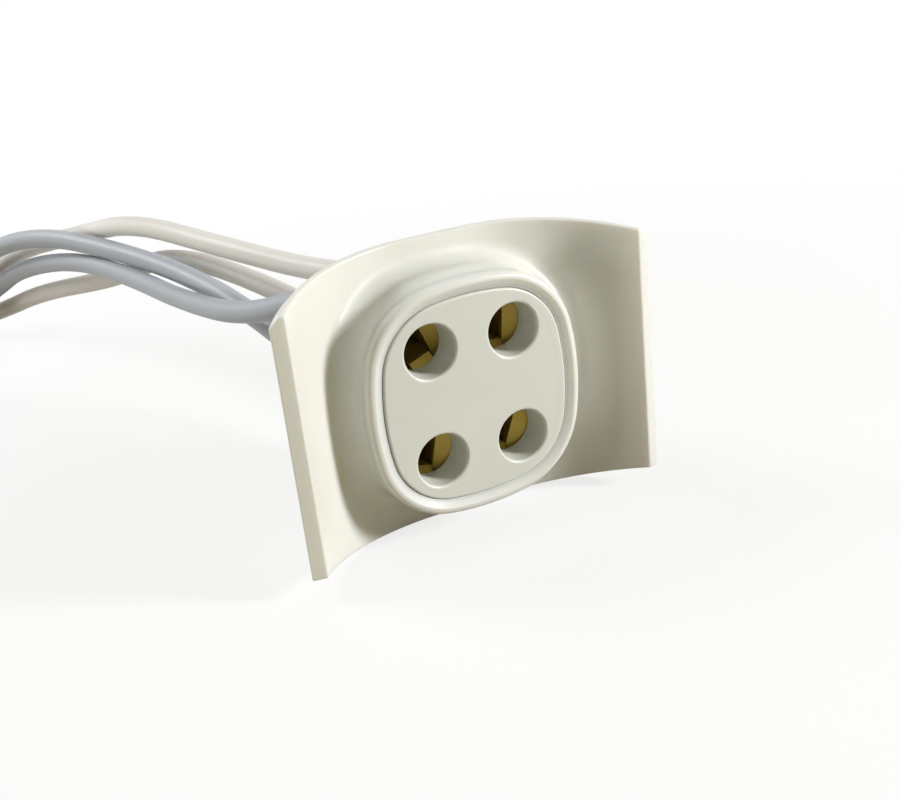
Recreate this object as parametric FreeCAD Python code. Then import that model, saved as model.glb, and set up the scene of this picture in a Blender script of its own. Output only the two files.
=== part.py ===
import FreeCAD, Part
import math
import os

from FreeCAD import Vector

# Push-on holder for a circular fluorescent tube.
# Millimetres. The origin is the middle of the four pin holes on the face.
# X runs along the saddle's chord, Y runs from the face to the back, Z is up.

# Lamp pin pattern
PIN_PITCH_X = 6.35
PIN_PITCH_Z = 7.92
PIN_HOLE_R = 1.9
PIN_HOLE_DEPTH = 2.6
PIN_HOLE_EDGE_R = 0.2

# Contact block, whose face reaches past the pin holes by a margin
FACE_MARGIN_X = 1.925
FACE_MARGIN_Z = 1.39
SIDE_BOW_R = 18.0
CORNER_R = 4.75
NOSE_EDGE_R = 0.55
SHOULDER_Y = 3.2
SHOULDER_STEP = 0.3
BLOCK_END = 11.2
CHAMBER_R = 2.4

# Housing
RIM_Y = 0.1
RIM_OUTER_R = 0.85
RIM_INNER_R = 0.12
WINDOW_GAP = 0.04
BLOCK_GAP = 0.1
SLEEVE_WALL = 0.75
SLEEVE_END = 12.4
ROOT_R = 1.3
REAR_ROOT_R = 0.5

# Saddle that hugs the tube's cap
SADDLE_Y = 4.72
SADDLE_WALL = 1.1
SADDLE_FLAT_HALF = 2.4
SADDLE_R = 12.5
SADDLE_SWEEP = math.radians(58.2)
SADDLE_END_SLANT = math.radians(13.0)
SADDLE_HALF_H = 10.5
SADDLE_LEAN = math.radians(13.2)
SADDLE_EDGE_R = 0.15
SADDLE_TOP_STRIP = 0.35
SADDLE_TOP_DROP = 0.75

# Catches of the block, in the top and bottom walls
CATCH_HALF_W = 1.4
CATCH_Y = 7.5
CATCH_LENGTH = 1.2
CATCH_BITE = 0.55
CATCH_GAP = 0.15

# Latch arms of the rear cover, in the side walls
COVER_PLAY = 0.1
ARM_HALF_H = 1.5
ARM_THICK = 0.7
ARM_LENGTH = 1.8
LATCH_LENGTH = 1.0
LATCH_BITE = 0.55
ARM_GAP = 0.1

# Share of a snap nose's length that is its ramp
RAMP_SHARE = 0.8

# Rear cover's lead outlets
COLLAR_LENGTH = 0.8
COLLAR_ROOT_R = 1.9
COLLAR_TIP_R = 1.55
SPIGOT_GAP = 0.1
LEAD_GAP = 0.08

# Spring contacts, bent from brass strip
STRIP = 0.3
LIP_GAP = 0.15
PINCH = 2.0
PINCH_Y = 3.4
PINCH_LENGTH = 0.4
BELLY_X = 1.25
BELLY_Y = 4.7
ROOT_X = 1.05
WEB_DEPTH = 3.2
LEAF_HALF_H = 1.8
REST_DEPTH = 1.5
REST_Y = 3.3
REST_HALF_W = 0.85
BARREL_LENGTH = 2.2
BARREL_SEAM = 0.15
CONTACT_SIDE_GAP = 0.15
CONTACT_TURNS = (-21.0, 7.0, 14.0, 22.0)

# Leads
LEAD_R = 1.0
CORE_R = 0.5
CORE_GAP = 0.05
INSULATION_GAP = 0.2
BARED_LENGTH = 6.0
OUTLET_RUN_Y = 19.0
ENTRY_RUN = 6.0
BEND_SHARE = 0.45

# Put-away coil of the four leads, two turns deep, and the tie round it
COIL_X = -50.3
COIL_Y = 78.5
COIL_R = 10.0
COIL_PACKING = 0.1
COIL_TAIL_AZIMUTH = math.radians(216.0)
TIE_AZIMUTH = math.radians(120.0)
TIE_WIDTH = 2.4
TIE_THICK = 0.6
TIE_HEAD_WIDTH = 3.2
TIE_HEAD_HEIGHT = 2.6
TIE_HEAD_DEPTH = 2.2
TIE_HEAD_Z = 2.8

# How far joined shapes overlap, how far cutters pass what they cut, and a length past all
OVERLAP = 0.2
PAST = 1.0
FAR = 60.0

# How near an edge lies to a line that it is picked by, and the turn that makes an edge sharp
PICK = 0.03
SHARP_TURN = math.radians(5.0)

# Share of the free wall beside it that a root fillet may take
ROOT_SHARE = 0.92

# Worked out from the sizes above
NOSE_HALF_W = PIN_PITCH_X / 2 + PIN_HOLE_R + FACE_MARGIN_X
NOSE_HALF_H = PIN_PITCH_Z / 2 + PIN_HOLE_R + FACE_MARGIN_Z
SLEEVE_GROW = SHOULDER_STEP + BLOCK_GAP + SLEEVE_WALL
COVER_Y = BLOCK_END + COVER_PLAY
COLLAR_END = SLEEVE_END + COLLAR_LENGTH
LATCH_Y = COVER_Y - ARM_LENGTH
WEB_Y = BLOCK_END - WEB_DEPTH
WEB_BACK = WEB_Y + STRIP
BARREL_END = WEB_BACK + BARREL_LENGTH
INSULATION_Y = BARREL_END + INSULATION_GAP
BARREL_INNER_R = CORE_R + CORE_GAP
CONTACT_R = CHAMBER_R - CONTACT_SIDE_GAP
SADDLE_MID_Y = SADDLE_Y - SADDLE_R
EDGE_LIFT = SADDLE_EDGE_R * (math.tan(SADDLE_LEAN) + 1 / math.cos(SADDLE_LEAN) - 1)
FLOOR_Z = EDGE_LIFT - SADDLE_HALF_H - SADDLE_WALL * math.tan(SADDLE_LEAN)
LAYER = 2 * LEAD_R + COIL_PACKING
BUNDLE = LAYER + 2 * LEAD_R
COIL_INNER = COIL_R - BUNDLE / 2
COIL_OUTER = COIL_R + BUNDLE / 2
COIL_HEIGHT = BUNDLE + 2 * LAYER
COIL_REACH = math.sqrt(COIL_OUTER * COIL_OUTER - COIL_INNER * COIL_INNER)

# Name, pin column and row, then the lead's place in the coil: outer or inner, layer
LEADS = (
    ("grey_upper", -1, 1, -1, 0),
    ("white_upper", 1, 1, 1, 1),
    ("grey_lower", -1, -1, -1, 1),
    ("white_lower", 1, -1, 1, 0),
)

# Routes of the leads between the outlet's straight run and the coil's entry
ROUTES = {
    "grey_upper": (
        (-7.4, 28.0, 0.9), (-9.8, 39.5, 0.2), (-12.2, 51.0, 0.9), (-15.6, 62.0, 1.6),
        (-20.4, 73.0, -0.4), (-23.3, 80.9, -4.4), (-28.9, 85.3, -8.0),
    ),
    "grey_lower": (
        (-5.0, 30.3, -1.0), (-7.6, 42.0, 1.4), (-12.2, 54.0, 3.3), (-18.2, 66.0, 4.7),
        (-23.2, 75.0, 2.6), (-24.3, 81.0, -1.9), (-28.9, 85.5, -5.4),
    ),
    "white_upper": (
        (-0.9, 27.5, 3.6), (-6.2, 37.5, 5.2), (-10.8, 51.5, 6.2), (-14.0, 66.5, 3.1),
        (-19.8, 79.0, 0.2), (-23.1, 85.2, -3.6), (-29.3, 88.6, -6.6),
    ),
    "white_lower": (
        (-1.7, 34.0, 0.5), (-7.9, 49.5, 2.9), (-12.2, 60.5, -1.2), (-18.6, 73.5, -4.2),
        (-22.6, 83.2, -8.2), (-29.3, 87.9, -9.6),
    ),
}


def pin_place(column, row):
    return column * PIN_PITCH_X / 2, row * PIN_PITCH_Z / 2


def box(x0, x1, y0, y1, z0, z1):
    return Part.makeBox(x1 - x0, y1 - y0, z1 - z0, Vector(x0, y0, z0))


def rod(x, z, radius, y0, y1):
    return Part.makeCylinder(radius, y1 - y0, Vector(x, y0, z), Vector(0, 1, 0))


def about_y(shape, degrees):
    turned = shape.copy()
    turned.rotate(Vector(0, 0, 0), Vector(0, 1, 0), degrees)
    return turned


def outline_wire(grow, y):
    """Rounded square with bowed sides, grown outwards by the same amount all round."""
    half_w = NOSE_HALF_W + grow
    half_h = NOSE_HALF_H + grow
    bow = SIDE_BOW_R + grow
    corner = CORNER_R + grow
    side_back = bow - half_w
    top_back = bow - half_h
    reach = bow - corner
    half = math.hypot(side_back, top_back) / 2
    lift = math.sqrt(reach * reach - half * half) / (2 * half)
    cx = top_back * lift - side_back / 2
    cz = side_back * lift - top_back / 2
    side = ((cx + side_back) / reach, cz / reach)
    top = (cx / reach, (cz + top_back) / reach)
    mid_x, mid_z = side[0] + top[0], side[1] + top[1]
    mid = math.hypot(mid_x, mid_z)
    quarter = (
        (half_w, 0.0),
        (cx + corner * side[0], cz + corner * side[1]),
        (cx + corner * mid_x / mid, cz + corner * mid_z / mid),
        (cx + corner * top[0], cz + corner * top[1]),
        (0.0, half_h),
    )
    ring = []
    for sx, sz in ((1, 1), (-1, 1), (-1, -1), (1, -1)):
        points = [Vector(sx * x, y, sz * z) for x, z in quarter]
        if sx * sz < 0:
            points.reverse()
        ring += points[:-1]
    arcs = [Part.Arc(ring[k - 1], ring[k], ring[k + 1]).toShape() for k in range(0, len(ring), 2)]
    return Part.Wire(arcs)


def outline_prism(grow, y0, y1):
    return Part.Face(outline_wire(grow, y0)).extrude(Vector(0, y1 - y0, 0))


def edge_middle(edge):
    return edge.valueAt((edge.FirstParameter + edge.LastParameter) / 2)


def is_sharp(shape, edge):
    """True where the two faces beside an edge meet at an angle."""
    middle = edge_middle(edge)
    normals = []
    for face in shape.ancestorsOfType(edge, Part.Face):
        u, v = face.Surface.parameter(middle)
        normals.append(face.normalAt(u, v))
    return normals[0].getAngle(normals[1]) > SHARP_TURN


def edges_at_y(shape, y):
    """Edges that lie in the plane across Y at that place."""
    return [edge for edge in shape.Edges
            if abs(edge.BoundBox.YMin - y) < PICK and abs(edge.BoundBox.YMax - y) < PICK]


def is_circle(edge, radius):
    return isinstance(edge.Curve, Part.Circle) and abs(edge.Curve.Radius - radius) < PICK


def edges_on_outline(edges, grow):
    """Those of the edges that lie on the outline grown by that amount."""
    found = []
    for edge in edges:
        middle = edge_middle(edge)
        if outline_wire(grow, middle.y).distToShape(Part.Vertex(middle))[0] < PICK:
            found.append(edge)
    return found


def edges_on_saddle(edges, radius):
    """Those of the edges that lie on the saddle's face of that radius."""
    found = []
    for edge in edges:
        middle = edge_middle(edge)
        past_flat = max(abs(middle.x) - SADDLE_FLAT_HALF, 0.0)
        if abs(math.hypot(past_flat, middle.y - SADDLE_MID_Y) - radius) < PICK:
            found.append(edge)
    return found


def saddle_point(radius, side, share):
    """A point of the saddle's section, from the flat's end (0) to the wing's tip (1)."""
    angle = (SADDLE_SWEEP + (radius - SADDLE_R) * math.tan(SADDLE_END_SLANT) / radius) * share
    x = SADDLE_FLAT_HALF + radius * math.sin(angle)
    return Vector(side * x, SADDLE_MID_Y + radius * math.cos(angle), -FAR)


def saddle_plate():
    """Curved plate of even wall, whose edges lean in towards the tube and whose top falls off behind."""
    back_r = SADDLE_R + SADDLE_WALL
    edges = []
    for radius in (SADDLE_R, back_r):
        for side in (-1, 1):
            arc = [saddle_point(radius, side, share) for share in (0, 0.5, 1)]
            edges.append(Part.Arc(*arc).toShape())
        edges.append(Part.makeLine(saddle_point(radius, -1, 0), saddle_point(radius, 1, 0)))
    for side in (-1, 1):
        edges.append(Part.makeLine(saddle_point(SADDLE_R, side, 1), saddle_point(back_r, side, 1)))
    section = Part.Wire(Part.__sortEdges__(edges))
    plate = Part.Face(section).extrude(Vector(0, 0, 2 * FAR))
    lean = math.tan(SADDLE_LEAN)
    tip = Vector(-FAR, SADDLE_Y - SADDLE_HALF_H / lean, 0)
    half_h = SADDLE_HALF_H + (FAR - SADDLE_Y) * lean
    wedge = Part.makePolygon([tip, Vector(-FAR, FAR, half_h), Vector(-FAR, FAR, -half_h), tip])
    plate = plate.common(Part.Face(wedge).extrude(Vector(2 * FAR, 0, 0)))
    top_back = [edge for edge in edges_on_saddle(plate.Edges, back_r) if edge_middle(edge).z > PICK
                and edge.BoundBox.XLength > SADDLE_WALL]
    plate = plate.makeChamfer(SADDLE_TOP_DROP, SADDLE_WALL - SADDLE_TOP_STRIP, top_back)
    return plate.makeFillet(SADDLE_EDGE_R, [edge for edge in plate.Edges if is_sharp(plate, edge)])


def root_radius(wanted, saddle_r, y_end):
    """Radius of a root fillet, limited by the free wall beside the boss and above it.

    The boss's side runs along Y from the saddle's face, of that radius, to y_end.
    """
    slope = math.asin((NOSE_HALF_W + SLEEVE_GROW - SADDLE_FLAT_HALF) / saddle_r)
    side_room = abs(SADDLE_MID_Y + saddle_r * math.cos(slope) - y_end)
    corner = math.pi / 2 - slope
    top_room = SADDLE_HALF_H - NOSE_HALF_H - SLEEVE_GROW - SADDLE_EDGE_R
    if saddle_r > SADDLE_R:
        corner = math.pi / 2 + slope
        top_room -= SADDLE_TOP_DROP
    return min(wanted, ROOT_SHARE * side_room * math.tan(corner / 2), ROOT_SHARE * top_room)


def snap_nose(root, bite, y0, length, half_width):
    """Wedge on the +X side: a ramp that rises from the front, then a steep back."""
    points = [
        Vector(root - OVERLAP, y0, -half_width),
        Vector(root, y0, -half_width),
        Vector(root + bite, y0 + RAMP_SHARE * length, -half_width),
        Vector(root + bite, y0 + length, -half_width),
        Vector(root - OVERLAP, y0 + length, -half_width),
    ]
    wedge = Part.Face(Part.makePolygon(points + points[:1]))
    return wedge.extrude(Vector(0, 0, 2 * half_width))


def catch_windows():
    """Windows in the top and bottom walls for the block's catches."""
    half = CATCH_HALF_W + CATCH_GAP
    y0 = CATCH_Y - CATCH_GAP
    y1 = CATCH_Y + CATCH_LENGTH + CATCH_GAP
    outer = NOSE_HALF_H + SLEEVE_GROW + PAST
    top = box(-half, half, y0, y1, NOSE_HALF_H, outer)
    return top.fuse(about_y(top, 180))


def latch_windows():
    """Windows in the side walls for the rear cover's latches."""
    half = ARM_HALF_H + ARM_GAP
    y0 = LATCH_Y - ARM_GAP
    y1 = LATCH_Y + LATCH_LENGTH + ARM_GAP
    outer = NOSE_HALF_W + SLEEVE_GROW + PAST
    right = box(NOSE_HALF_W, outer, y0, y1, -half, half)
    return right.fuse(about_y(right, 180))


def saddle_housing():
    """One moulding: the saddle, the boss round the face and the sleeve behind."""
    body = outline_prism(SLEEVE_GROW, RIM_Y, SLEEVE_END).fuse(saddle_plate()).removeSplitter()
    rim_end = RIM_Y + RIM_OUTER_R
    roots = ((SADDLE_R, ROOT_R, rim_end), (SADDLE_R + SADDLE_WALL, REAR_ROOT_R, SLEEVE_END))
    for saddle_r, wanted, y_end in roots:
        root = edges_on_outline(edges_on_saddle(body.Edges, saddle_r), SLEEVE_GROW)
        body = body.makeFillet(root_radius(wanted, saddle_r, y_end), root)
    body = body.makeFillet(RIM_OUTER_R, edges_at_y(body, RIM_Y))
    body = body.cut(outline_prism(WINDOW_GAP, RIM_Y - PAST, SHOULDER_Y + PAST))
    body = body.cut(outline_prism(SHOULDER_STEP + BLOCK_GAP, SHOULDER_Y, SLEEVE_END + PAST))
    window = edges_on_outline(edges_at_y(body, RIM_Y), WINDOW_GAP)
    body = body.makeFillet(RIM_INNER_R, window)
    return body.cut(catch_windows()).cut(latch_windows())


def contact_block():
    """Insert with the pin holes, the contacts' chambers and its two catches."""
    nose = outline_prism(0, 0, SHOULDER_Y + OVERLAP)
    nose = nose.makeFillet(NOSE_EDGE_R, edges_at_y(nose, 0))
    block = nose.fuse(outline_prism(SHOULDER_STEP, SHOULDER_Y, BLOCK_END))
    catch = snap_nose(NOSE_HALF_H + SHOULDER_STEP, CATCH_BITE, CATCH_Y, CATCH_LENGTH, CATCH_HALF_W)
    for degrees in (90, -90):
        block = block.fuse(about_y(catch, degrees))
    for _, column, row, _, _ in LEADS:
        x, z = pin_place(column, row)
        hole = rod(x, z, PIN_HOLE_R, -PAST, PIN_HOLE_DEPTH + OVERLAP)
        chamber = rod(x, z, CHAMBER_R, PIN_HOLE_DEPTH, BLOCK_END + PAST)
        block = block.cut(hole).cut(chamber)
    mouths = [edge for edge in edges_at_y(block, 0) if is_circle(edge, PIN_HOLE_R)]
    block = block.makeFillet(PIN_HOLE_EDGE_R, mouths)
    outer = NOSE_HALF_W + SHOULDER_STEP
    slot = box(outer - ARM_THICK - ARM_GAP, outer + PAST, LATCH_Y - ARM_GAP, BLOCK_END + PAST,
               -ARM_HALF_H - ARM_GAP, ARM_HALF_H + ARM_GAP)
    return block.cut(slot).cut(about_y(slot, 180)).removeSplitter()


def rear_cover():
    """Back plate with two latch arms, four spigots inside and four outlet collars."""
    outer = NOSE_HALF_W + SHOULDER_STEP
    arm = box(outer - ARM_THICK, outer, LATCH_Y, COVER_Y + OVERLAP, -ARM_HALF_H, ARM_HALF_H)
    arm = arm.fuse(snap_nose(outer, LATCH_BITE, LATCH_Y, LATCH_LENGTH, ARM_HALF_H - ARM_GAP))
    cover = outline_prism(SHOULDER_STEP, COVER_Y, SLEEVE_END).fuse(arm).fuse(about_y(arm, 180))
    places = [pin_place(column, row) for _, column, row, _, _ in LEADS]
    for x, z in places:
        spigot = rod(x, z, CHAMBER_R - SPIGOT_GAP, WEB_BACK, COVER_Y + OVERLAP)
        collar = Part.makeCone(COLLAR_ROOT_R, COLLAR_TIP_R, COLLAR_LENGTH,
                               Vector(x, SLEEVE_END, z), Vector(0, 1, 0))
        cover = cover.fuse(spigot).fuse(collar)
    for x, z in places:
        cover = cover.cut(rod(x, z, LEAD_R + LEAD_GAP, WEB_BACK - PAST, COLLAR_END + PAST))
    return cover.removeSplitter()


def strip_face(points):
    """Face of a bent strip: the points are one side, the other lies to their right."""
    shifted = []
    for k, point in enumerate(points):
        before = points[max(k - 1, 0)]
        after = points[min(k + 1, len(points) - 1)]
        normals = []
        for start, end in ((before, point), (point, after)):
            if start != end:
                run = math.hypot(end[0] - start[0], end[1] - start[1])
                normals.append(((end[1] - start[1]) / run, -(end[0] - start[0]) / run))
        nx = sum(normal[0] for normal in normals) / len(normals)
        ny = sum(normal[1] for normal in normals) / len(normals)
        scale = STRIP / (nx * nx + ny * ny)
        shifted.append((point[0] + nx * scale, point[1] + ny * scale))
    loop = list(points) + shifted[::-1] + [points[0]]
    return Part.Face(Part.makePolygon([Vector(x, y, 0) for x, y in loop]))


def spring_contact(column, row, turn):
    """Two sprung leaves, a rest under the pin, a web across their back and a crimp barrel."""
    lip_y = PIN_HOLE_DEPTH + LIP_GAP
    line = (
        (CONTACT_R, lip_y),
        (PINCH / 2, PINCH_Y),
        (PINCH / 2, PINCH_Y + PINCH_LENGTH),
        (BELLY_X, BELLY_Y),
        (ROOT_X, WEB_Y + STRIP / 2),
    )
    leaf = strip_face(line).extrude(Vector(0, 0, 2 * CONTACT_R))
    leaf.translate(Vector(0, 0, -CONTACT_R))
    lips = box(-FAR, FAR, lip_y, PINCH_Y + PINCH_LENGTH / 2, -CONTACT_R, CONTACT_R)
    stems = box(-FAR, FAR, PINCH_Y, WEB_BACK, -LEAF_HALF_H, LEAF_HALF_H)
    mouth = rod(0, 0, CONTACT_R, lip_y, WEB_BACK)
    leaf = leaf.common(lips.fuse(stems)).common(mouth)
    line = ((CONTACT_R, lip_y), (REST_DEPTH, REST_Y), (REST_DEPTH, WEB_Y + STRIP / 2))
    rest = strip_face(line).extrude(Vector(0, 0, 2 * REST_HALF_W))
    rest.translate(Vector(0, 0, -REST_HALF_W))
    rest = about_y(rest.common(mouth), 90)
    half_web = ROOT_X + STRIP
    web = box(-half_web, half_web, WEB_Y, WEB_BACK, -LEAF_HALF_H, LEAF_HALF_H)
    barrel = rod(0, 0, BARREL_INNER_R + STRIP, WEB_BACK, BARREL_END)
    seam = box(-BARREL_SEAM / 2, BARREL_SEAM / 2, WEB_BACK, BARREL_END, 0, CHAMBER_R)
    barrel = barrel.cut(rod(0, 0, BARREL_INNER_R, WEB_BACK, BARREL_END)).cut(seam)
    contact = leaf.fuse(about_y(leaf, 180)).fuse(rest).fuse(web).fuse(barrel).removeSplitter()
    x, z = pin_place(column, row)
    contact = about_y(contact, turn)
    contact.translate(Vector(x, 0, z))
    return contact


def lead_points(name, column, row, radial, layer):
    """From inside the rear cover, straight out, along the route and into the coil along -X."""
    x, z = pin_place(column, row)
    entry = Vector(COIL_X + COIL_REACH, COIL_Y + COIL_R + radial * LAYER / 2,
                   FLOOR_Z + LEAD_R + layer * LAYER)
    points = [Vector(x, INSULATION_Y, z), Vector(x, OUTLET_RUN_Y, z)]
    points += [Vector(*place) for place in ROUTES[name]]
    points += [entry + Vector(ENTRY_RUN, 0, 0), entry]
    return points


def lead_tube(name, points):
    """Round tube along straight runs joined by arcs that touch them."""
    edges = []
    radii = []
    place = points[0]
    for before, point, after in zip(points, points[1:], points[2:]):
        into = (point - before).normalize()
        out = (after - point).normalize()
        half_turn = math.acos(into.dot(out)) / 2
        cut_back = BEND_SHARE * min((point - before).Length, (after - point).Length)
        arc_r = cut_back / math.tan(half_turn)
        start = point - into * cut_back
        end = point + out * cut_back
        middle = point + (out - into).normalize() * arc_r * (1 / math.cos(half_turn) - 1)
        edges.append(Part.LineSegment(place, start).toShape())
        edges.append(Part.Arc(start, middle, end).toShape())
        radii.append(arc_r)
        place = end
    edges.append(Part.LineSegment(place, points[-1]).toShape())
    path = Part.Wire(edges)
    first = (points[1] - points[0]).normalize()
    section = Part.Wire([Part.Circle(points[0], first, LEAD_R).toShape()])
    tube = path.makePipeShell([section], True, False)
    wanted = math.pi * LEAD_R * LEAD_R * path.Length
    print(name, "length", round(path.Length, 1), "radii", [round(value, 1) for value in radii],
          "volume share", round(tube.Volume / wanted, 3))
    return tube


def placed_on_coil(shape, azimuth):
    """Turn a shape made at the coil's +Y side round to the azimuth, and put it on the coil."""
    placed = shape.copy()
    placed.rotate(Vector(0, 0, 0), Vector(0, 0, 1), math.degrees(azimuth))
    placed.translate(Vector(COIL_X, COIL_Y, FLOOR_Z))
    return placed


def lead_coil():
    """Outer shape of the coiled bundle, which humps over the tie and has its entry and tail."""
    ring = Part.makeCylinder(COIL_OUTER, COIL_HEIGHT)
    ring = ring.cut(Part.makeCylinder(COIL_INNER, COIL_HEIGHT))
    entry = box(0, COIL_REACH, COIL_INNER, COIL_OUTER, 0, BUNDLE)
    tail = box(-COIL_REACH, 0, COIL_INNER, COIL_OUTER, 2 * LAYER, COIL_HEIGHT)
    half = TIE_WIDTH / 2
    hump = box(-half, half, COIL_INNER, COIL_OUTER, COIL_HEIGHT - OVERLAP, COIL_HEIGHT + TIE_THICK)
    groove = box(-half, half, COIL_INNER - PAST, COIL_OUTER + PAST, 0, TIE_THICK)
    coil = placed_on_coil(ring.fuse(entry), 0).fuse(placed_on_coil(tail, COIL_TAIL_AZIMUTH))
    coil = coil.fuse(placed_on_coil(hump, TIE_AZIMUTH))
    return coil.cut(placed_on_coil(groove, TIE_AZIMUTH)).removeSplitter()


def coil_tie(coil):
    """Flat band round the bundle, with its square head on the outside."""
    half = TIE_WIDTH / 2
    band = box(-half, half, COIL_INNER - TIE_THICK, COIL_OUTER + TIE_THICK,
               0, COIL_HEIGHT + 2 * TIE_THICK)
    hollow = box(-half, half, COIL_INNER, COIL_OUTER, TIE_THICK, COIL_HEIGHT + TIE_THICK)
    head = box(-TIE_HEAD_WIDTH / 2, TIE_HEAD_WIDTH / 2, COIL_OUTER, COIL_OUTER + TIE_HEAD_DEPTH,
               TIE_HEAD_Z, TIE_HEAD_Z + TIE_HEAD_HEIGHT)
    return placed_on_coil(band.fuse(head).cut(hollow), TIE_AZIMUTH).cut(coil)


def bared_end(radial, layer):
    """Stripped conductor past the end of the insulation, on the coil's tail."""
    start = Vector(-COIL_REACH, COIL_R + radial * LAYER / 2, 2 * LAYER + LEAD_R + layer * LAYER)
    core = Part.makeCylinder(CORE_R, BARED_LENGTH, start, Vector(-1, 0, 0))
    return placed_on_coil(core, COIL_TAIL_AZIMUTH)


def save(name, shape):
    """Write one piece, as one solid."""
    if len(shape.Solids) != 1 or not shape.isValid():
        raise ValueError(name + " is not one valid solid")
    solid = shape.Solids[0]
    print(name, round(solid.Volume, 2))
    solid.exportStep("parts/" + name + ".step")


def main():
    os.makedirs("parts", exist_ok=True)
    save("saddle_housing", saddle_housing())
    save("contact_block", contact_block())
    save("rear_cover", rear_cover())
    coil = lead_coil()
    save("lead_coil", coil)
    save("coil_tie", coil_tie(coil))
    for (name, column, row, radial, layer), turn in zip(LEADS, CONTACT_TURNS):
        x, z = pin_place(column, row)
        save("spring_contact_" + name, spring_contact(column, row, turn))
        save("crimped_core_" + name, rod(x, z, CORE_R, WEB_BACK, INSULATION_Y))
        save("lead_" + name, lead_tube(name, lead_points(name, column, row, radial, layer)))
        save("bared_end_" + name, bared_end(radial, layer))


main()
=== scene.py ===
# %% [markdown]
# A push-on lamp holder for a circular fluorescent tube, in soft-gloss ivory plastic.
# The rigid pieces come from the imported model, at their real size and place.
# This lesson gives them their finishes, and makes the wire leads and their tie, and the
# crisp lip and edge at the front.
# All lengths are metres, because that is Blender's unit, and MM turns millimetres into them.

import math

import bmesh
import bpy
from mathutils import Matrix, Vector


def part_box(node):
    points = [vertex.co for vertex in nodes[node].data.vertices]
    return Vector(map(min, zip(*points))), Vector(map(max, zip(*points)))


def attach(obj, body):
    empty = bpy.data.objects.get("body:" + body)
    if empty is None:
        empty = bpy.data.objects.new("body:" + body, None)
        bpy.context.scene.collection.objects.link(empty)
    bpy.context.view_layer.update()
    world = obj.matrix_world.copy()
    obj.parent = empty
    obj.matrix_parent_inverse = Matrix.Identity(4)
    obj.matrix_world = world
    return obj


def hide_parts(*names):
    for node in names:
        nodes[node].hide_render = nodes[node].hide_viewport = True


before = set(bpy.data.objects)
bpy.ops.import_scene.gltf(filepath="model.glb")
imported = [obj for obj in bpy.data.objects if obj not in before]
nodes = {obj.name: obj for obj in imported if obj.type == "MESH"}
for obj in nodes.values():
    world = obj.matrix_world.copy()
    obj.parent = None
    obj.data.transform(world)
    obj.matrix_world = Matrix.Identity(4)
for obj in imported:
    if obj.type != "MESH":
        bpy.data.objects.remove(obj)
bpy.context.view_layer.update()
MM = 0.001

# %% [markdown]
# The camera stands in front of the holder, a little to its left and above, very close.
# A close camera makes near edges large and far ones small, so its distance matters as much
# as its direction. It is turned a little about its own line of sight as well.
# The lens follows from how wide the picture's view is at that distance.

# %% camera
CAMERA_PLACE = Vector((-32.98, -66.75, 29.38)) * MM
CAMERA_AZIMUTH = math.radians(24.768)
CAMERA_ELEVATION = math.radians(21.605)
CAMERA_ROLL = math.radians(-6.651)
SENSOR = 36.0
PICTURE = (900, 800)
LENS_PIXELS = 1166.8

back = Vector((
    -math.sin(CAMERA_AZIMUTH) * math.cos(CAMERA_ELEVATION),
    -math.cos(CAMERA_AZIMUTH) * math.cos(CAMERA_ELEVATION),
    math.sin(CAMERA_ELEVATION),
))
level = (-back).to_track_quat("-Z", "Y").to_matrix()
camera_data = bpy.data.cameras.new("camera")
camera_data.sensor_width = SENSOR
camera_data.lens = LENS_PIXELS * SENSOR / PICTURE[0]
camera_data.clip_start = 1 * MM
camera_data.clip_end = 10.0
camera = bpy.data.objects.new("camera", camera_data)
bpy.context.scene.collection.objects.link(camera)
turned = level @ Matrix.Rotation(CAMERA_ROLL, 3, "Z")
camera.matrix_world = Matrix.Translation(CAMERA_PLACE) @ turned.to_4x4()
bpy.context.scene.camera = camera
bpy.context.view_layer.update()


def picture_place(point):
    """Where a point of the model lands in the picture, in pixels from its top left."""
    seen = camera.matrix_world.inverted() @ Vector(point)
    across = LENS_PIXELS * seen.x / -seen.z
    up = LENS_PIXELS * seen.y / -seen.z
    return round(PICTURE[0] / 2 + across, 1), round(PICTURE[1] / 2 - up, 1)


print("lens", round(camera_data.lens, 2), "face's middle lands at", picture_place((0, 0, 0)))

# %% [markdown]
# Each lead is PVC insulated wire of 2 mm diameter. It leaves a collar at the back, runs
# backwards in a loose bend and comes down to the table, and the rest is put away in a coil.
# A lead could be a swept mesh, but a curve with a round bevel keeps its section even and
# its bends smooth. A NURBS of order 3 passes near its control points without a kink, so
# a handful of listed points gives the lay that stiff wire takes.
# The bevel is one metre deep and each point's radius is the wire's, in metres, so the two
# multiply to the wire's size and Blender reckons the curve's box from the true radius.
# The coil's points are worked out in a loop: points of a polygon that touches the circle
# keep the curve within a hundredth of a millimetre of that circle. The leads lie in it two
# wide and two high, and climb by two layers where they come round to their own start.

# %% sizes and routes of the leads
PIN_PITCH = Vector((6.35, 7.92)) * MM
LEAD_R = 1.0 * MM
INSULATION_Y = 10.7 * MM
OUTLET_RUN_Y = 19.0 * MM
FLOOR_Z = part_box("lead_coil")[0].z
COIL_MIDDLE = Vector((-50.3, 78.5)) * MM
COIL_R = 10.0 * MM
ENTRY_RUN = 6.0 * MM
LAYER = 2.1 * MM
BUNDLE = LAYER + 2 * LEAD_R
COIL_INNER = COIL_R - BUNDLE / 2
COIL_OUTER = COIL_R + BUNDLE / 2
COIL_REACH = math.sqrt(COIL_OUTER * COIL_OUTER - COIL_INNER * COIL_INNER)
POINTS_A_TURN = 15
TURN_STEPS = 24
RISE_START, RISE_END = math.radians(257), math.radians(317)
RISE_LEAD = math.radians(4)
TIE_AZIMUTH = math.radians(120)
TIE_BUMP_TOP = math.radians(9)
TIE_BUMP_HALF = math.radians(36)
TIE_THICK = 0.6 * MM

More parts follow.
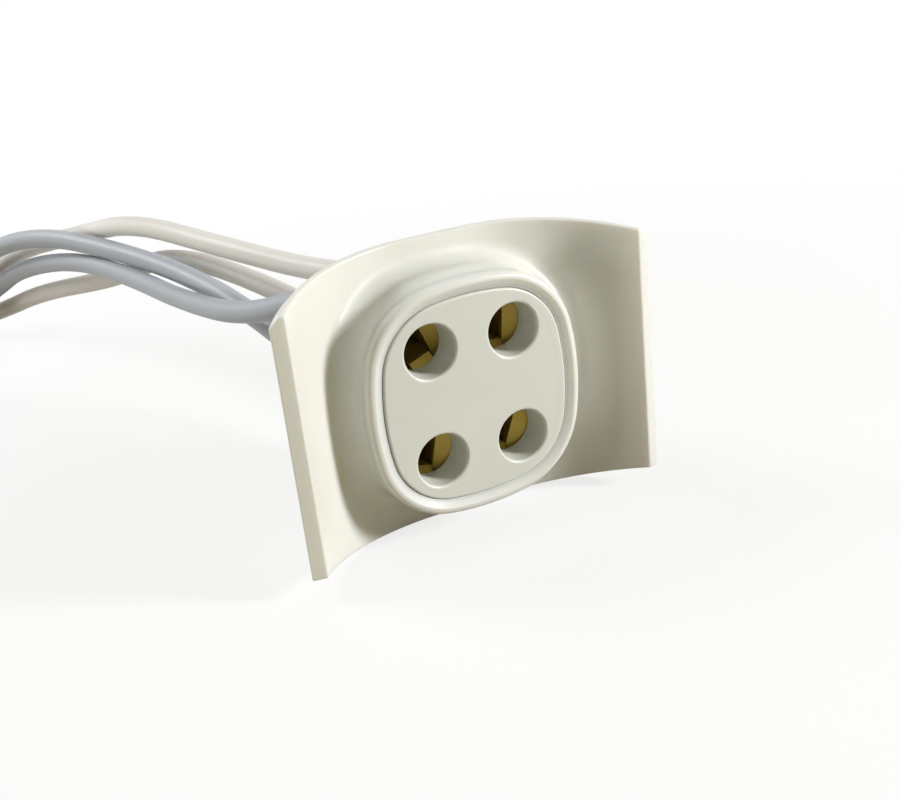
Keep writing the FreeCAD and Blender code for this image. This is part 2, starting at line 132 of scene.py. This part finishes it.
# Name, pin column and row, then outer or inner in the bundle, its layer, and its length
LEADS = (
    ("grey_upper", -1, 1, -1, 0, 0.204),
    ("white_upper", 1, 1, 1, 1, 0.230),
    ("grey_lower", -1, -1, -1, 1, 0.205),
    ("white_lower", 1, -1, 1, 0, 0.230),
)
ROUTES = {
    "grey_upper": (
        (-0.0074, 0.0280, 0.0009), (-0.0098, 0.0395, 0.0002), (-0.0122, 0.0510, 0.0009),
        (-0.0156, 0.0620, 0.0014), (-0.0204, 0.0730, -0.0006), (-0.0233, 0.0809, -0.0044),
        (-0.0289, 0.0853, -0.0080),
    ),
    "grey_lower": (
        (-0.0050, 0.0303, -0.0010), (-0.0076, 0.0420, 0.0014), (-0.0122, 0.0540, 0.0030),
        (-0.0182, 0.0660, 0.0040), (-0.0232, 0.0750, 0.0018), (-0.0243, 0.0810, -0.0020),
        (-0.0289, 0.0855, -0.0054),
    ),
    "white_upper": (
        (-0.0009, 0.0275, 0.0036), (-0.0062, 0.0375, 0.0052), (-0.0108, 0.0515, 0.0062),
        (-0.0140, 0.0665, 0.0031), (-0.0198, 0.0790, 0.0002), (-0.0231, 0.0852, -0.0036),
        (-0.0293, 0.0886, -0.0066),
    ),
    "white_lower": (
        (-0.0017, 0.0340, 0.0005), (-0.0079, 0.0495, 0.0029), (-0.0122, 0.0605, -0.0012),
        (-0.0186, 0.0735, -0.0040), (-0.0226, 0.0832, -0.0075), (-0.0293, 0.0879, -0.0095),
    ),
}


def smooth_share(value, low, high):
    """0 up to low, 1 from high on, and a smooth climb between them."""
    share = min(max((value - low) / (high - low), 0.0), 1.0)
    return share * share * (3 - 2 * share)


def coil_height(azimuth, layer):
    """Height of a lead's middle in the coil, which climbs once and humps over the tie.
    The upper layer starts to climb a little sooner, so that the layers don't press together."""
    rise = smooth_share(azimuth + layer * RISE_LEAD, RISE_START, RISE_END) * 2 * LAYER
    off_tie = abs((azimuth - TIE_AZIMUTH + math.pi) % (2 * math.pi) - math.pi)
    bump = TIE_THICK * (1 - smooth_share(off_tie, TIE_BUMP_TOP, TIE_BUMP_HALF))
    return FLOOR_Z + LEAD_R + layer * LAYER + rise + bump


def coil_points(radial, layer):
    """Control points of a lead's turns, from the coil's far side round and out along its tail."""
    radius = COIL_R + radial * LAYER / 2
    step = 2 * math.pi / POINTS_A_TURN
    reach = radius / math.cos(step / 2)
    points = []
    for k in range(TURN_STEPS + 2):
        azimuth = (k - 0.5) * step
        points.append(Vector((COIL_MIDDLE.x - reach * math.sin(azimuth),
                              COIL_MIDDLE.y + reach * math.cos(azimuth),
                              coil_height(azimuth, layer))))
    end = TURN_STEPS * step
    heading = Vector((-math.cos(end), -math.sin(end), 0))
    touch = Vector((COIL_MIDDLE.x - radius * math.sin(end),
                    COIL_MIDDLE.y + radius * math.cos(end), coil_height(end, layer)))
    return points + [touch + heading * COIL_REACH]


def lead_points(name, column, row, radial, layer):
    """All control points of a lead: out of its collar, along its route and into the coil."""
    x, z = column * PIN_PITCH.x / 2, row * PIN_PITCH.y / 2
    entry = Vector((COIL_MIDDLE.x + COIL_REACH, COIL_MIDDLE.y + COIL_R + radial * LAYER / 2,
                    coil_height(0, layer)))
    points = [Vector((x, INSULATION_Y, z)), Vector((x, OUTLET_RUN_Y, z))]
    points += [Vector(place) for place in ROUTES[name]]
    return points + [entry + Vector((ENTRY_RUN, 0, 0)), entry] + coil_points(radial, layer)


def lead_curve(name, points):
    """The lead as a round NURBS wire, and its length in millimetres."""
    curve = bpy.data.curves.new("lead_" + name + "_wire", "CURVE")
    curve.dimensions = "3D"
    curve.bevel_depth = 1.0
    curve.bevel_resolution = 6
    curve.resolution_u = 10
    curve.use_fill_caps = True
    spline = curve.splines.new("NURBS")
    spline.points.add(len(points) - 1)
    for spot, point in zip(spline.points, points):
        spot.co = (*point, 1.0)
        spot.radius = LEAD_R
    spline.order_u = 3
    spline.use_endpoint_u = True
    lead = bpy.data.objects.new("lead_" + name + "_wire", curve)
    bpy.context.scene.collection.objects.link(lead)
    return lead, round(spline.calc_length() / MM, 1)


leads = {}
for name, column, row, radial, layer, cut in LEADS:
    lead, length = lead_curve(name, lead_points(name, column, row, radial, layer))
    leads[name] = lead
    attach(lead, "root")
    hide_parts("lead_" + name, "lead_coil")
    print(name, "is", length, "mm long")

# %% [markdown]
# A small cable tie holds the coil: a flat band bent round the bundle, and a square head
# that the band's end passes through. A cube scaled to the bundle, with its two open sides
# deleted and its four long edges bevelled, becomes the band once solidify gives it a wall.
# The head is a second cube with a slot pressed into it, and the cut-off end is a third.

# %% tie round the coil
TIE_WIDTH = 2.4 * MM
TIE_CORNER = 0.9 * MM
TIE_EDGE = 0.12 * MM
TIE_HEAD = Vector((3.2, 2.2, 2.6)) * MM
TIE_HEAD_Z = 2.8 * MM
TIE_SLOT_RIM = 0.5 * MM
TIE_SLOT_DEPTH = 0.8 * MM
TIE_END = Vector((2.0, 0.5, 1.2)) * MM
COIL_HEIGHT = BUNDLE + 2 * LAYER
SOFT_UP_TO = math.radians(40)
CORNER_FROM = math.radians(60)


def block(shape, low, high):
    """A cube stretched between two corners; gives its vertices."""
    low, high = Vector(low), Vector(high)
    verts = bmesh.ops.create_cube(shape, size=1.0)["verts"]
    bmesh.ops.scale(shape, verts=verts, vec=high - low)
    bmesh.ops.translate(shape, verts=verts, vec=(low + high) / 2)
    return verts


def round_edges(shape, edges, radius, segments):
    """Round the given edges of a shape."""
    bmesh.ops.bevel(shape, geom=edges, offset=radius, segments=segments, profile=0.5,
                    affect="EDGES", material=-1)


def finished(shape, name):
    """Turn a bmesh into an object at the origin, with smooth faces and clean normals."""
    bmesh.ops.recalc_face_normals(shape, faces=shape.faces)
    mesh = bpy.data.meshes.new(name)
    shape.to_mesh(mesh)
    shape.free()
    mesh.shade_smooth()
    mesh.set_sharp_from_angle(angle=SOFT_UP_TO)
    piece = bpy.data.objects.new(name, mesh)
    bpy.context.scene.collection.objects.link(piece)
    return piece


shape = bmesh.new()
half = TIE_WIDTH / 2
block(shape, (-half, COIL_INNER - TIE_THICK, 0),
      (half, COIL_OUTER + TIE_THICK, COIL_HEIGHT + 2 * TIE_THICK))
sides = [face for face in shape.faces if abs(face.normal.x) > 0.5]
bmesh.ops.delete(shape, geom=sides, context="FACES_ONLY")
long_edges = [edge for edge in shape.edges if not edge.is_boundary]
round_edges(shape, long_edges, TIE_CORNER, segments=6)
bmesh.ops.recalc_face_normals(shape, faces=shape.faces)
bmesh.ops.solidify(shape, geom=shape.faces[:], thickness=TIE_THICK)
rims = [edge for edge in shape.edges if edge.calc_face_angle(0.0) > CORNER_FROM]
round_edges(shape, rims, TIE_EDGE, segments=2)

head = bmesh.new()
block(head, (-TIE_HEAD.x / 2, COIL_OUTER + TIE_THICK / 2, TIE_HEAD_Z),
      (TIE_HEAD.x / 2, COIL_OUTER + TIE_HEAD.y, TIE_HEAD_Z + TIE_HEAD.z))
top = [face for face in head.faces if face.normal.z > 0.5]
bmesh.ops.inset_region(head, faces=top, thickness=TIE_SLOT_RIM)
bmesh.ops.translate(head, verts=top[0].verts, vec=(0, 0, -TIE_SLOT_DEPTH))
outer = [edge for edge in head.edges
         if edge.calc_face_angle(0.0) > CORNER_FROM and edge.is_convex]
round_edges(head, outer, TIE_EDGE, segments=3)
end_y = COIL_OUTER + TIE_HEAD.y / 2
end_z = TIE_HEAD_Z + TIE_HEAD.z
verts = block(head, (-TIE_END.x / 2, end_y - TIE_END.y / 2, end_z - TIE_SLOT_DEPTH),
              (TIE_END.x / 2, end_y + TIE_END.y / 2, end_z + TIE_END.z))
mesh = bpy.data.meshes.new("tie_head")
head.to_mesh(mesh)
head.free()
shape.from_mesh(mesh)
bpy.data.meshes.remove(mesh)

bmesh.ops.rotate(shape, verts=shape.verts, cent=(0, 0, 0),
                 matrix=Matrix.Rotation(TIE_AZIMUTH, 3, "Z"))
bmesh.ops.translate(shape, verts=shape.verts, vec=(*COIL_MIDDLE, FLOOR_Z))
tie = finished(shape, "tie_band")
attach(tie, "root")
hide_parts("coil_tie")
print("tie of", len(tie.data.polygons), "faces")

# %% [markdown]
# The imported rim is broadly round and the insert's edge soft. On the real part a narrow lip
# runs round the boss, its front slopes in to the insert, and the insert's edge is crisp.
# A cut through each solid gives its outline, and one face that fills the outline is inset
# step by step, so every line stays parallel to it. A tight pair of insets at a corner keeps
# the flat beside it flat under smooth shading. Each ring sits on its solid, closed behind by
# a strip that runs inside the solid. The boss and the sleeve behind it share one outline,
# and the sleeve's end gives it with the most even points.

# %% lip of the rim and edge of the insert
SLEEVE_CUT = 12.38 * MM
RIM_BACK, EDGE_BACK = 0.93 * MM, 0.56 * MM
LIP_Y = -0.14 * MM
LIP_R = 0.4 * MM
LIP_WIDTH = 0.1 * MM
SLOPE_WIDTH, SLOPE_DEPTH = 0.47 * MM, 0.23 * MM
RIM_FOOT = 0.4 * MM
EDGE_R = 0.16 * MM
EDGE_WIDTH = 0.55 * MM
EDGE_FOOT = 0.3 * MM
PROUD = 0.004 * MM
TIGHT = 0.02 * MM
SAME_POINT = 0.001 * MM
CLOSE_POINTS = 0.03 * MM
ROUNDING_STEPS = 6


def longest_loop(edges):
    """Walk the edges from neighbour to neighbour and give the longest ring of them."""
    left, best, best_length = set(edges), [], 0.0
    while left:
        ring = [left.pop()]
        for edge in ring:
            near = {other for vert in edge.verts for other in vert.link_edges if other in left}
            left -= near
            ring.extend(near)
        length = sum(edge.calc_length() for edge in ring)
        if length > best_length:
            best, best_length = ring, length
    return best


def outline_face(node, cut_y, back_y):
    """A new shape with one face, the outline of a solid in a cut, moved to back_y."""
    shape = bmesh.new()
    shape.from_mesh(nodes[node].data)
    bmesh.ops.remove_doubles(shape, verts=shape.verts, dist=SAME_POINT)
    cut = bmesh.ops.bisect_plane(shape, geom=shape.verts[:] + shape.edges[:] + shape.faces[:],
                                 plane_co=(0, cut_y, 0), plane_no=(0, -1, 0))
    ring = longest_loop([x for x in cut["geom_cut"] if isinstance(x, bmesh.types.BMEdge)])
    kept = {vert for edge in ring for vert in edge.verts}
    bmesh.ops.delete(shape, geom=[v for v in shape.verts if v not in kept], context="VERTS")
    bmesh.ops.remove_doubles(shape, verts=shape.verts, dist=CLOSE_POINTS)
    bmesh.ops.translate(shape, verts=shape.verts, vec=(0, back_y - cut_y, 0))
    face = bmesh.ops.contextual_create(shape, geom=shape.edges[:])["faces"][0]
    if face.normal.y > 0:
        face.normal_flip()
    return shape, face


def rounding(radius):
    """Insets that turn a wall into a front by a quarter round."""
    angles = [math.pi / 2 * k / ROUNDING_STEPS for k in range(ROUNDING_STEPS + 1)]
    return [(radius * (math.cos(a) - math.cos(b)), radius * (math.sin(b) - math.sin(a)))
            for a, b in zip(angles, angles[1:])]


def ring_from(node, cut_y, back_y, insets, name):
    """Inset the outline's face step by step (inwards, then forwards), and close it behind."""
    shape, face = outline_face(node, cut_y, back_y)
    print(name, "outline of", len(face.verts), "points, shortest side",
          round(min(edge.calc_length() for edge in face.edges) / MM, 3), "mm")
    for thickness, depth in insets:
        bmesh.ops.inset_region(shape, faces=[face], thickness=thickness, depth=depth,
                               use_boundary=True, use_even_offset=True)
    bmesh.ops.delete(shape, geom=[face], context="FACES_ONLY")
    open_edges = [edge for edge in shape.edges if edge.is_boundary]
    bmesh.ops.bridge_loops(shape, edges=open_edges)
    ring = finished(shape, name)
    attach(ring, "root")
    return ring


slope = SLOPE_DEPTH / SLOPE_WIDTH
rim_insets = [(0, RIM_BACK - LIP_Y - LIP_R)] + rounding(LIP_R)
rim_insets += [(TIGHT, 0), (LIP_WIDTH - 2 * TIGHT, 0), (TIGHT, 0), (TIGHT, -slope * TIGHT)]
rim_insets += [(SLOPE_WIDTH - TIGHT, -slope * (SLOPE_WIDTH - TIGHT)), (0, -RIM_FOOT)]
rim_ring = ring_from("saddle_housing", SLEEVE_CUT, RIM_BACK, rim_insets, "rim_lip")
edge_insets = [(0, EDGE_BACK + PROUD - EDGE_R)] + rounding(EDGE_R)
edge_insets += [(TIGHT, 0), (EDGE_WIDTH - EDGE_R, 0), (0, -EDGE_FOOT)]
edge_ring = ring_from("contact_block", EDGE_BACK, EDGE_BACK, edge_insets, "insert_edge")
for ring in (rim_ring, edge_ring):
    low = [round(min(v.co[k] for v in ring.data.vertices) / MM, 3) for k in range(3)]
    high = [round(max(v.co[k] for v in ring.data.vertices) / MM, 3) for k in range(3)]
    print(ring.name, len(ring.data.polygons), "faces from", low, "to", high)

# %% [markdown]
# A plain pale floor carries the holder. White plastic on white card needs its shadow to
# be seen at all, so the card is a real diffuse surface. For the camera a share of plain
# white is mixed in, which lifts the card to the picture's white and leaves the shadow soft.
# The lamps stand close, so the card would fade to grey far out: the share of white grows
# there, and the card runs into the white surroundings without a line. Only the camera and
# reflections see this white. The light that the card throws back on the holder is a warm
# mid grey, as from a table, so that the shaded sides of the pale plastic keep their depth.

# %% floor and surroundings
WHITE_NEAR, WHITE_FAR = 0.78, 1.0
NEAR, FAR = 30 * MM, 130 * MM
CARD_COLOUR = (0.93, 0.93, 0.92, 1)
BOUNCE_COLOUR = (0.33, 0.29, 0.20, 1)
CARD_SIZE = 6.0
AMBIENT = 0.18
AMBIENT_COLOUR = (1.0, 0.965, 0.74, 1)


def seen_directly(links, new):
    """1 for what the camera sees itself, in a gloss or through something clear, and 0 else."""
    path = new("ShaderNodeLightPath")
    glossy = new("ShaderNodeMath")
    glossy.operation = "MAXIMUM"
    links.new(path.outputs["Is Camera Ray"], glossy.inputs[0])
    links.new(path.outputs["Is Glossy Ray"], glossy.inputs[1])
    clear = new("ShaderNodeMath")
    clear.operation = "MAXIMUM"
    links.new(glossy.outputs[0], clear.inputs[0])
    links.new(path.outputs["Is Transmission Ray"], clear.inputs[1])
    return clear.outputs[0]


card = bpy.data.materials.new("white_card")
card.use_nodes = True
tree = card.node_tree
tree.nodes.clear()
seen = seen_directly(tree.links, tree.nodes.new)
colour = tree.nodes.new("ShaderNodeMix")
colour.data_type = "RGBA"
colour.inputs["A"].default_value = BOUNCE_COLOUR
colour.inputs["B"].default_value = CARD_COLOUR
tree.links.new(seen, colour.inputs["Factor"])
paint = tree.nodes.new("ShaderNodeBsdfDiffuse")
tree.links.new(colour.outputs["Result"], paint.inputs["Color"])
glow = tree.nodes.new("ShaderNodeEmission")
glow.inputs["Color"].default_value = (1, 1, 1, 1)
spot = tree.nodes.new("ShaderNodeTexCoord")
away = tree.nodes.new("ShaderNodeVectorMath")
away.operation = "LENGTH"
tree.links.new(spot.outputs["Object"], away.inputs[0])
white = tree.nodes.new("ShaderNodeMapRange")
white.interpolation_type = "SMOOTHSTEP"
for socket, value in zip(("From Min", "From Max", "To Min", "To Max"),
                         (NEAR, FAR, WHITE_NEAR, WHITE_FAR)):
    white.inputs[socket].default_value = value
tree.links.new(away.outputs["Value"], white.inputs["Value"])
share = tree.nodes.new("ShaderNodeMath")
share.operation = "MULTIPLY"
tree.links.new(seen, share.inputs[0])
tree.links.new(white.outputs["Result"], share.inputs[1])
mix = tree.nodes.new("ShaderNodeMixShader")
tree.links.new(share.outputs[0], mix.inputs[0])
tree.links.new(paint.outputs[0], mix.inputs[1])
tree.links.new(glow.outputs[0], mix.inputs[2])
tree.links.new(mix.outputs[0], tree.nodes.new("ShaderNodeOutputMaterial").inputs["Surface"])

shape = bmesh.new()
bmesh.ops.create_grid(shape, x_segments=1, y_segments=1, size=CARD_SIZE / 2)
bmesh.ops.translate(shape, verts=shape.verts, vec=(0, 0, FLOOR_Z))
mesh = bpy.data.meshes.new("floor")
shape.to_mesh(mesh)
shape.free()
floor = bpy.data.objects.new("floor", mesh)
bpy.context.scene.collection.objects.link(floor)
floor.data.materials.append(card)

world = bpy.data.worlds.new("studio")
bpy.context.scene.world = world
world.use_nodes = True
tree = world.node_tree
tree.nodes.clear()
dim = tree.nodes.new("ShaderNodeBackground")
dim.inputs["Color"].default_value = AMBIENT_COLOUR
dim.inputs["Strength"].default_value = AMBIENT
bright = tree.nodes.new("ShaderNodeBackground")
bright.inputs["Color"].default_value = (1, 1, 1, 1)
bright.inputs["Strength"].default_value = 1.0
mix = tree.nodes.new("ShaderNodeMixShader")
tree.links.new(seen_directly(tree.links, tree.nodes.new), mix.inputs[0])
tree.links.new(dim.outputs[0], mix.inputs[1])
tree.links.new(bright.outputs[0], mix.inputs[2])
tree.links.new(mix.outputs[0], tree.nodes.new("ShaderNodeOutputWorld").inputs["Surface"])
print("card", CARD_SIZE, "m wide, at", round(FLOOR_Z / MM, 2), "mm")

# %% [markdown]
# Three soft lamps light it. A lamp of pi squared times its distance squared, in watts,
# makes a white surface that faces it come out white, so each lamp is given as a share of that.
# The key stands to the right, in front and above. It brightens the left wing, leaves the
# right one in shade, and the boss throws a fairly crisp shadow to its left. A second lamp
# behind on the left lights the wires and the saddle's top from above. A third at the left
# side reaches the wires and the left end, and the saddle itself keeps it off the right wing.

# %% lamps
LAMP_DISTANCE = 0.30
# Name, direction, width in metres, and share of a full white
LAMPS = (
    ("key", Vector((0.81, -0.65, 0.40)), 0.06, 1.10),
    ("rear", Vector((-0.60, 0.55, 0.65)), 0.14, 0.52),
    ("side", Vector((-1.0, 0.0, 0.08)), 0.10, 0.26),
)
for name, direction, size, share in LAMPS:
    lamp_data = bpy.data.lights.new(name, "AREA")
    lamp_data.shape = "DISK"
    lamp_data.size = size
    lamp_data.energy = share * math.pi ** 2 * LAMP_DISTANCE ** 2
    lamp = bpy.data.objects.new(name, lamp_data)
    bpy.context.scene.collection.objects.link(lamp)
    towards = direction.normalized()
    lamp.location = towards * LAMP_DISTANCE
    lamp.rotation_mode = "QUATERNION"
    lamp.rotation_quaternion = (-towards).to_track_quat("-Z", "Y")
    print(name, "lamp of", round(lamp_data.energy, 3), "W")

bpy.context.scene.view_settings.view_transform = "Standard"

# %% [markdown]
# The housing and the insert are moulded in ivory plastic with a soft gloss. Such plastic
# lets a little light in, which takes the hardness off its shadows, and its skin follows
# the mould's fine spark-eroded grain. Noise gives that grain and a faint mottle of the
# colour. It is laid on Object coordinates, so it stays on the piece from every side.
# The grain is bump, and the gloss varies with it.

# %% moulded plastic
RAMP_FROM, RAMP_TO = 0.3, 0.7
ROUGHNESS_SPREAD = 0.05
GRAINS_A_MOTTLE = 30
# Red light goes furthest into the plastic and blue light least
LIGHT_REACH = (1.0, 0.85, 0.6)


def noise(tree, scale, detail, roughness=0.5):
    """A noise pattern on the piece's own coordinates; scale counts its cells in a metre."""
    place = tree.nodes.new("ShaderNodeTexCoord")
    pattern = tree.nodes.new("ShaderNodeTexNoise")
    pattern.inputs["Scale"].default_value = scale
    pattern.inputs["Detail"].default_value = detail
    pattern.inputs["Roughness"].default_value = roughness
    tree.links.new(place.outputs["Object"], pattern.inputs["Vector"])
    return pattern.outputs["Fac"]


def between(tree, factor, low, high):
    """A ramp of two colours or two greys that follows a pattern."""
    ramp = tree.nodes.new("ShaderNodeValToRGB")
    ramp.color_ramp.elements[0].position = RAMP_FROM
    ramp.color_ramp.elements[1].position = RAMP_TO
    ramp.color_ramp.elements[0].color = (*low, 1)
    ramp.color_ramp.elements[1].color = (*high, 1)
    tree.links.new(factor, ramp.inputs["Fac"])
    return ramp.outputs["Color"]


def finish_of(name, low, high, roughness, grain, depth, **sockets):
    """A shader with a mottled colour, a varying gloss and a fine bumped grain.
    grain counts the grain's cells in a metre, and depth is how deep they go."""
    material = bpy.data.materials.new(name)
    material.use_nodes = True
    tree = material.node_tree
    shader = tree.nodes["Principled BSDF"]
    for socket, value in sockets.items():
        shader.inputs[socket.replace("_", " ")].default_value = value
    mottle = noise(tree, grain / GRAINS_A_MOTTLE, detail=3)
    tree.links.new(between(tree, mottle, low, high), shader.inputs["Base Color"])
    fine = noise(tree, grain, detail=4, roughness=0.6)
    dull = tuple([roughness + ROUGHNESS_SPREAD] * 3)
    bright = tuple([roughness - ROUGHNESS_SPREAD] * 3)
    tree.links.new(between(tree, fine, bright, dull), shader.inputs["Roughness"])
    bump = tree.nodes.new("ShaderNodeBump")
    bump.inputs["Strength"].default_value = 1.0
    bump.inputs["Distance"].default_value = depth
    tree.links.new(fine, bump.inputs["Height"])
    tree.links.new(bump.outputs["Normal"], shader.inputs["Normal"])
    return material


def dress(node, material):
    """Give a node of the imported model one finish."""
    nodes[node].data.materials.clear()
    nodes[node].data.materials.append(material)


ivory = finish_of("ivory_moulding", low=(0.775, 0.775, 0.725), high=(0.81, 0.81, 0.76),
                  roughness=0.34, grain=3500, depth=0.003 * MM,
                  Subsurface_Weight=0.45, Subsurface_Scale=1.2 * MM,
                  Subsurface_Radius=LIGHT_REACH)
insert_ivory = finish_of("insert_moulding", low=(0.695, 0.705, 0.645), high=(0.725, 0.735, 0.675),
                         roughness=0.38, grain=4500, depth=0.003 * MM,
                         Subsurface_Weight=0.05, Subsurface_Scale=0.5 * MM,
                         Subsurface_Radius=LIGHT_REACH)
dress("saddle_housing", ivory)
dress("rear_cover", ivory)
dress("contact_block", insert_ivory)
rim_ring.data.materials.append(ivory)
edge_ring.data.materials.append(insert_ivory)
print("moulded pieces dressed")

# %% [markdown]
# The contacts are bent from brass strip and the wires are soft copper. A metal's colour is
# in its reflection, and fine drawing and rolling marks break it up. The brass sits deep in
# its holes and has a dull skin, so part of it is an ordinary diffuse colour. Its colour is
# set to a dark brown, far below bright brass. That is painted shade: the brass's own colour
# darkened by the shade that falls deep in the holes.

# %% brass and copper
# The dark brown low and high colours are the brass's own hue darkened by painted shade of the
# holes
brass = finish_of("brass_strip_with_painted_shade", low=(0.30, 0.20, 0.03), high=(0.40, 0.29, 0.045),
                  roughness=0.42, grain=6000, depth=0.003 * MM, Metallic=0.6)
copper = finish_of("copper_wire", low=(0.72, 0.38, 0.22), high=(0.82, 0.48, 0.30),
                   roughness=0.28, grain=8000, depth=0.002 * MM, Metallic=1.0)
for name in leads:
    dress("spring_contact_" + name, brass)
    dress("crimped_core_" + name, copper)
    dress("bared_end_" + name, copper)
print("metal pieces dressed")

# %% [markdown]
# Extruded PVC has a satin skin, a shade uneven along its length. The white wire is a warm
# white and slightly clear, the grey one a cool mid grey.

# %% insulation
grey = finish_of("grey_pvc", low=(0.40, 0.43, 0.48), high=(0.45, 0.48, 0.53),
                 roughness=0.42, grain=3000, depth=0.004 * MM,
                 Subsurface_Weight=0.05, Subsurface_Scale=0.5 * MM)
white = finish_of("white_pvc", low=(0.77, 0.755, 0.72), high=(0.81, 0.795, 0.765),
                  roughness=0.42, grain=3000, depth=0.004 * MM,
                  Subsurface_Weight=0.2, Subsurface_Scale=0.8 * MM)
for name, lead in leads.items():
    lead.data.materials.append(grey if name.startswith("grey") else white)
tie_nylon = finish_of("tie_nylon", low=(0.80, 0.80, 0.77), high=(0.84, 0.84, 0.81),
                      roughness=0.40, grain=2500, depth=0.003 * MM,
                      Subsurface_Weight=0.3, Subsurface_Scale=0.8 * MM)
tie.data.materials.append(tie_nylon)
